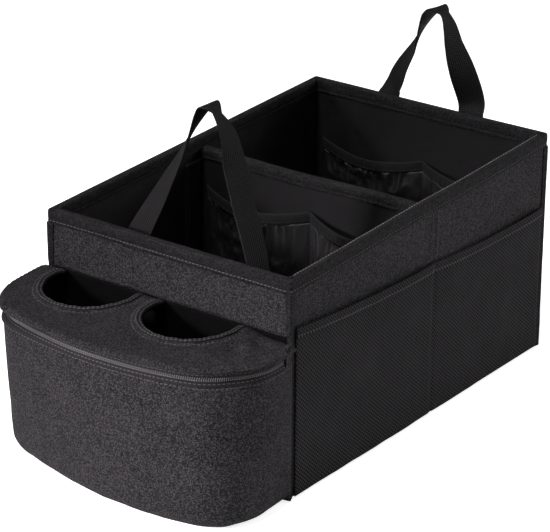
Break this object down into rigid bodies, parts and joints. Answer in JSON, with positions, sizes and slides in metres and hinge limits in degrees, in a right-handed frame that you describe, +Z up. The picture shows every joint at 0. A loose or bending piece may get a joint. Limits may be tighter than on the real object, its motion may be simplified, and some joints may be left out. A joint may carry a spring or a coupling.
{
  "type": "car trunk organizer",
  "caption": "Open box of black cloth over stiff boards with a divider, outside mesh pockets, webbing handles and a rounded zipped pouch with cup openings in its lid.",
  "frame": {"origin": "on the floor under the bottom panel, midway across the width and midway between the front of the pouch's upper edge and the back wall", "axes": "+Z up, +X across the front to the side that the picture shows, +Y from the pouch to the back wall"},
  "size_m": [0.2704, 0.5091, 0.312],
  "materials": {
    "black_cloth": "matt coated weave",
    "mesh_cloth": "open diagonal net",
    "lining_cloth": "smooth thin lining",
    "webbing": "ribbed strap",
    "tape_cloth": "fine twill tape",
    "elastic": "ribbed elastic",
    "board": "stiff sheet inside the cloth",
    "coil_plastic": "moulded coil",
    "dark_metal": "dark painted metal"
  },
  "bodies": {
    "box": {"bottom_panel": "black_cloth", "front_panel": "black_cloth", "front_board": "board", "front_lining": "lining_cloth", "back_panel": "black_cloth", "back_board": "board", "back_lining": "lining_cloth", "left_panel": "black_cloth", "left_front_board": "board", "left_rear_board": "board", "left_lining": "lining_cloth", "right_panel": "black_cloth", "right_front_board": "board", "right_rear_board": "board", "right_lining": "lining_cloth", "front_base_board": "board", "rear_base_board": "board", "rim_hem": "black_cloth", "front_left_corner_seam": "black_cloth", "front_right_corner_seam": "black_cloth", "back_left_corner_seam": "black_cloth", "back_right_corner_seam": "black_cloth", "divider_cover": "lining_cloth", "divider_board": "board", "divider_hem": "black_cloth", "divider_left_tab": "lining_cloth", "divider_right_tab": "lining_cloth", "divider_pocket": "lining_cloth", "divider_pocket_elastic": "elastic", "back_pocket": "lining_cloth", "back_pocket_elastic": "elastic", "left_mesh_pocket": "mesh_cloth", "left_mesh_hem": "tape_cloth", "right_mesh_pocket": "mesh_cloth", "right_mesh_hem": "tape_cloth", "pouch_wall": "black_cloth", "pouch_base": "black_cloth", "zip_left_end_tab": "tape_cloth", "zip_right_end_tab": "tape_cloth", "zip_lower_coil": "coil_plastic", "zip_lower_tape": "tape_cloth", "front_handle": "webbing", "back_handle": "webbing"},
    "lid": {"lid_panel": "black_cloth", "left_cup_binding": "tape_cloth", "right_cup_binding": "tape_cloth", "lid_band": "black_cloth", "zip_upper_tape": "tape_cloth", "zip_upper_coil": "coil_plastic"},
    "slider": {"zip_slider": "dark_metal"},
    "pull": {"zip_pull": "dark_metal"}
  },
  "joints": [
    {"name": "lid_hinge", "type": "hinge", "parent": "box", "child": "lid", "pos_m": [0, -0.1468, 0.14905], "axis": [-1, 0, 0], "range_deg": [0, 88]},
    {"name": "slider_travel", "type": "hinge", "parent": "box", "child": "slider", "pos_m": [-0.078, -0.17881, 0.1332], "axis": [0, 0, 1], "range_deg": [0, 72]},
    {"name": "pull_swing", "type": "hinge", "parent": "slider", "child": "pull", "pos_m": [-0.13525, -0.17881, 0.1332], "axis": [0, 0, 1], "range_deg": [0, 170]}
  ]
}
